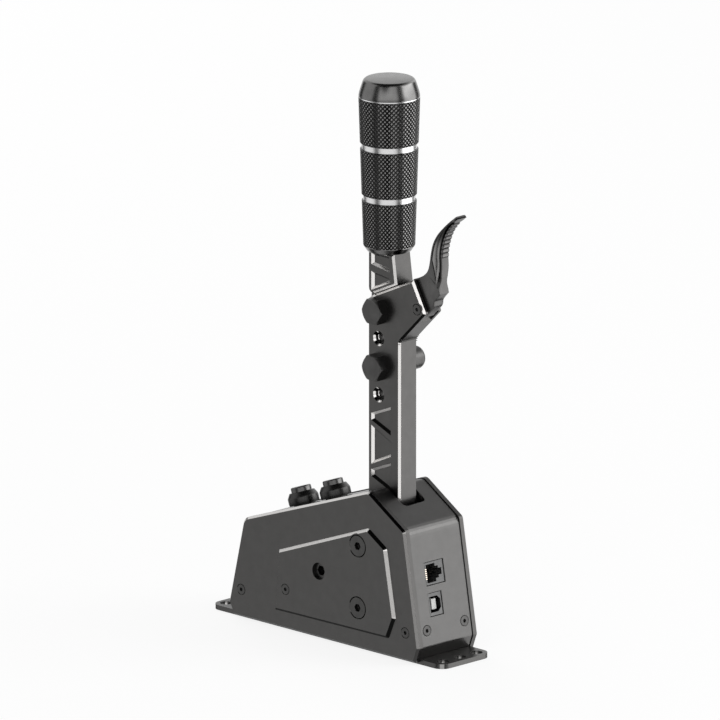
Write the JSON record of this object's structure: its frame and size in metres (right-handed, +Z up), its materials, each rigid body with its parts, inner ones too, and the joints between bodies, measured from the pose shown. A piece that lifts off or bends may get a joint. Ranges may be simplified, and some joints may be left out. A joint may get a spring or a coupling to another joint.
{
  "type": "sequential gear shifter for a driving simulator",
  "caption": "Sequential shifter for a driving simulator: flat lever with knurled grip and finger trigger on a trapezoid box with push buttons and ports.",
  "frame": {"origin": "middle of the underside of the base plate, which is the bottom centre of the overall box", "axes": "+X forward, away from the driver, towards the ports; +Y to the driver's left; +Z up"},
  "size_m": [0.1728, 0.048, 0.3071],
  "materials": {
    "anodised_plate": "satin black anodised",
    "anodised_cover": "satin dark grey anodised",
    "anodised_stick": "satin black anodised, bright chamfers",
    "bare_aluminium": "machined",
    "ground_steel": "ground",
    "black_rubber": "matte",
    "black_screw": "black oxide",
    "black_bolt": "black anodised",
    "brass": "machined",
    "board": "solder resist",
    "black_plastic": "moulded",
    "gold": "plated",
    "socket_steel": "stamped, black oxide",
    "pale_plastic": "moulded",
    "button_metal": "satin black anodised",
    "button_cap_metal": "semi-gloss dark grey anodised",
    "lead_sheath": "matte",
    "trigger_metal": "semi-gloss black anodised",
    "knurled_grip": "diamond knurl, black anodised with worn tops",
    "polished_ring": "turned bright",
    "grip_cap_metal": "satin dark grey anodised"
  },
  "bodies": {
    "chassis": {"base_plate": "anodised_plate", "side_plate_right": "anodised_plate", "side_plate_left": "anodised_plate", "top_cover": "anodised_cover", "front_block": "bare_aluminium", "rear_block": "bare_aluminium", "spring_frame": "bare_aluminium", "pivot_shaft": "ground_steel", "pivot_spacers": "bare_aluminium", "stop_pin": "ground_steel", "stop_sleeve": "black_rubber", "shaft_screws_right": "black_screw", "shaft_screws_left": "black_screw", "side_screws_right": "black_screw", "side_screws_left": "black_screw", "cover_screws": "black_screw", "base_screws": "black_screw", "adjuster_screws": "black_screw", "adjuster_tips": "brass", "circuit_board": "board", "board_standoffs": "brass", "board_screws": "ground_steel", "modular_jack": "black_plastic", "jack_contacts": "gold", "usb_shell": "socket_steel", "usb_insert": "pale_plastic", "hall_sensor": "black_plastic", "button_bezel_rear": "button_metal", "button_bezel_front": "button_metal", "button_switch_rear": "black_plastic", "button_switch_front": "black_plastic", "button_spring_rear": "ground_steel", "button_spring_front": "ground_steel", "button_nuts": "bare_aluminium", "button_leads": "lead_sheath", "centring_spring_lower": "ground_steel", "centring_spring_upper": "ground_steel"},
    "lever": {"lower_stick": "anodised_stick", "pivot_hub": "bare_aluminium", "hub_bolts": "black_screw", "pivot_bushes": "brass", "sensor_magnet": "ground_steel", "upper_stick": "anodised_stick", "clamp_bolts": "black_bolt", "clamp_nuts": "black_bolt", "trigger_screw": "black_screw", "trigger_spring": "ground_steel", "trigger_switch": "black_plastic", "trigger_lead": "lead_sheath", "grip_stud": "ground_steel", "grip_core": "bare_aluminium", "grip_sleeve_lower": "knurled_grip", "grip_sleeve_middle": "knurled_grip", "grip_sleeve_upper": "knurled_grip", "grip_rings": "polished_ring", "grip_cap": "grip_cap_metal"},
    "trigger": {"trigger": "trigger_metal"},
    "rear_button": {"button_cap_rear": "button_cap_metal"},
    "front_button": {"button_cap_front": "button_cap_metal"}
  },
  "joints": [
    {"name": "shift", "type": "hinge", "parent": "chassis", "child": "lever", "pos_m": [0.0289, 0, 0.0238], "axis": [0, 1, 0], "range_deg": [-4.5, 4.5], "stiffness_Nm_per_rad": 40, "deforming": ["centring_spring_lower", "centring_spring_upper", "trigger_lead"]},
    {"name": "trigger_pull", "type": "hinge", "parent": "lever", "child": "trigger", "pos_m": [0.0556, 0, 0.1879], "axis": [0, -1, 0], "range_deg": [0, 10], "stiffness_Nm_per_rad": 0.6, "springref_deg": -17.19, "deforming": ["trigger_spring"]},
    {"name": "rear_button_press", "type": "slide", "parent": "chassis", "child": "rear_button", "axis": [0.3295, 0, -0.9441], "range_m": [0, 0.0016], "stiffness_N_per_m": 400, "springref_m": -0.003, "deforming": ["button_spring_rear"]},
    {"name": "front_button_press", "type": "slide", "parent": "chassis", "child": "front_button", "axis": [0.3295, 0, -0.9441], "range_m": [0, 0.0016], "stiffness_N_per_m": 400, "springref_m": -0.003, "deforming": ["button_spring_front"]}
  ]
}
